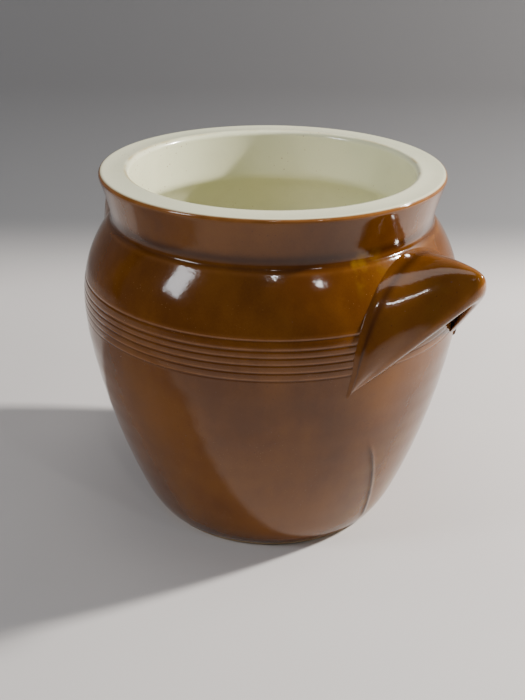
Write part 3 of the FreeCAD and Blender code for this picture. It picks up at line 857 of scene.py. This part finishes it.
def stage_sheet():
    """A profile (distance away, height) carried sideways."""
    flat = np.stack([np.linspace(FLOOR_NEAR, SWEEP_START, 30), np.zeros(30)], 1)
    bend = arc((SWEEP_START, SWEEP_ROUND), SWEEP_ROUND, -90, 0, 40)[1:]
    wall = np.stack([np.full(10, SWEEP_START + SWEEP_ROUND),
                     np.linspace(SWEEP_ROUND, SWEEP_TOP, 11)[1:]], 1)
    profile = np.concatenate([flat, bend, wall])
    side = np.linspace(-STAGE_HALF_WIDTH, STAGE_HALF_WIDTH, 20)
    flat_place = (profile[:, None, :1] * AWAY[None, None] + side[None, :, None] * ASIDE[None, None])
    height = np.broadcast_to(profile[:, None, 1:], (*flat_place.shape[:2], 1))
    return np.concatenate([flat_place, height], -1)


def stage_paint():
    """Pale on the floor, turning to a darker grey up the backdrop."""
    finish = Finish("stage_paint")
    clouds = finish.noise(3.0, 3.0, 0.5)
    up = finish.node("ShaderNodeSeparateXYZ", {}, {0: finish.place()}, output="Z")
    colour = finish.blend(clouds.within(0.3, 0.7), (0.56, 0.53, 0.52, 1), (0.60, 0.57, 0.555, 1))
    colour = finish.blend(up.within(0.004, 0.07), colour, (0.16, 0.16, 0.165, 1))
    return finish.surface({"Base Color": colour, "Roughness": 0.75})


stage = make_surface("stage_sheet", stage_sheet(), wrap_rows=False)
stage.data.flip_normals()
stage.data.materials.append(stage_paint())


# %% [markdown]
# Light makes a glaze.  A small strong lamp from the right, a little behind the pot, gives the long
# shadow.  A tall soft window at the left front draws the bright patch on the shoulder.  Small lamps
# behind the camera put the sparks on the belly and the ear.  The room around is dim, so the gloss
# stays deep.

# %% Lights and room
def lamp(name, place, aim, size, power, colour=(1, 1, 1)):
    """A rectangular lamp at a place, turned to face a point."""
    data = bpy.data.lights.new(name, "AREA")
    data.shape = "RECTANGLE"
    data.size, data.size_y = size
    data.energy = power
    data.color = colour
    lamp_object = bpy.data.objects.new(name, data)
    lamp_object.location = place
    lamp_object.rotation_euler = (Vector(aim) - Vector(place)).to_track_quat("-Z", "Y").to_euler()
    bpy.context.scene.collection.objects.link(lamp_object)


def stage_place(aside, away, up):
    """A place in the room: metres to the right of the pot, away from the camera, and up."""
    spot = ASIDE * aside + AWAY * away
    return (float(spot[0]), float(spot[1]), up)


POT_MIDDLE = (0.0, 0.0, 0.14)
lamp("key_window", stage_place(1.25, 0.22, 0.95), (0.05, 0.05, 0.05), (0.10, 0.14), 56,
     (1.0, 0.97, 0.92))
lamp("left_window", stage_place(-1.15, -0.60, 0.95), POT_MIDDLE, (0.30, 0.55), 9,
     (0.93, 0.96, 1.0))
lamp("overhead", stage_place(0.0, -0.1, 1.9), POT_MIDDLE, (0.7, 0.7), 4, (1.0, 0.98, 0.95))
lamp("spark_high", stage_place(0.05, -1.3, 1.75), POT_MIDDLE, (0.07, 0.04), 1.6)
lamp("spark_side", stage_place(0.75, -1.1, 1.35), POT_MIDDLE, (0.07, 0.12), 1.6)

ROOM_COLOUR, ROOM_STRENGTH = (0.80, 0.84, 0.90, 1), 0.12
room = bpy.data.worlds.new("room")
bpy.context.scene.world = room
room.use_nodes = True
room_light = room.node_tree.nodes["Background"]
room_light.inputs["Color"].default_value = ROOM_COLOUR
room_light.inputs["Strength"].default_value = ROOM_STRENGTH

# %% [markdown]
# The camera stands in front of one quarter of the pot and looks down at it, so that the mouth shows
# as a broad ellipse and one ear points to the right.

# %% Camera
CAMERA_PLACE = (0.4074, -0.4855, 0.4132)
CAMERA_DOWN = math.radians(25.78)
CAMERA_ROLL = math.radians(0.51)
SENSOR_SIDE, FOCAL_SHARE = 36.0, 10 / 7

camera_data = bpy.data.cameras.new("camera")
camera_data.sensor_width = SENSOR_SIDE
camera_data.lens = FOCAL_SHARE * SENSOR_SIDE
camera = bpy.data.objects.new("camera", camera_data)
bpy.context.scene.collection.objects.link(camera)
aim = Euler((math.pi / 2 - CAMERA_DOWN, 0, VIEW_HEADING)).to_matrix()
turn = (aim @ Matrix.Rotation(CAMERA_ROLL, 3, "Z")).to_4x4()
camera.matrix_world = Matrix.Translation(CAMERA_PLACE) @ turn
bpy.context.scene.camera = camera
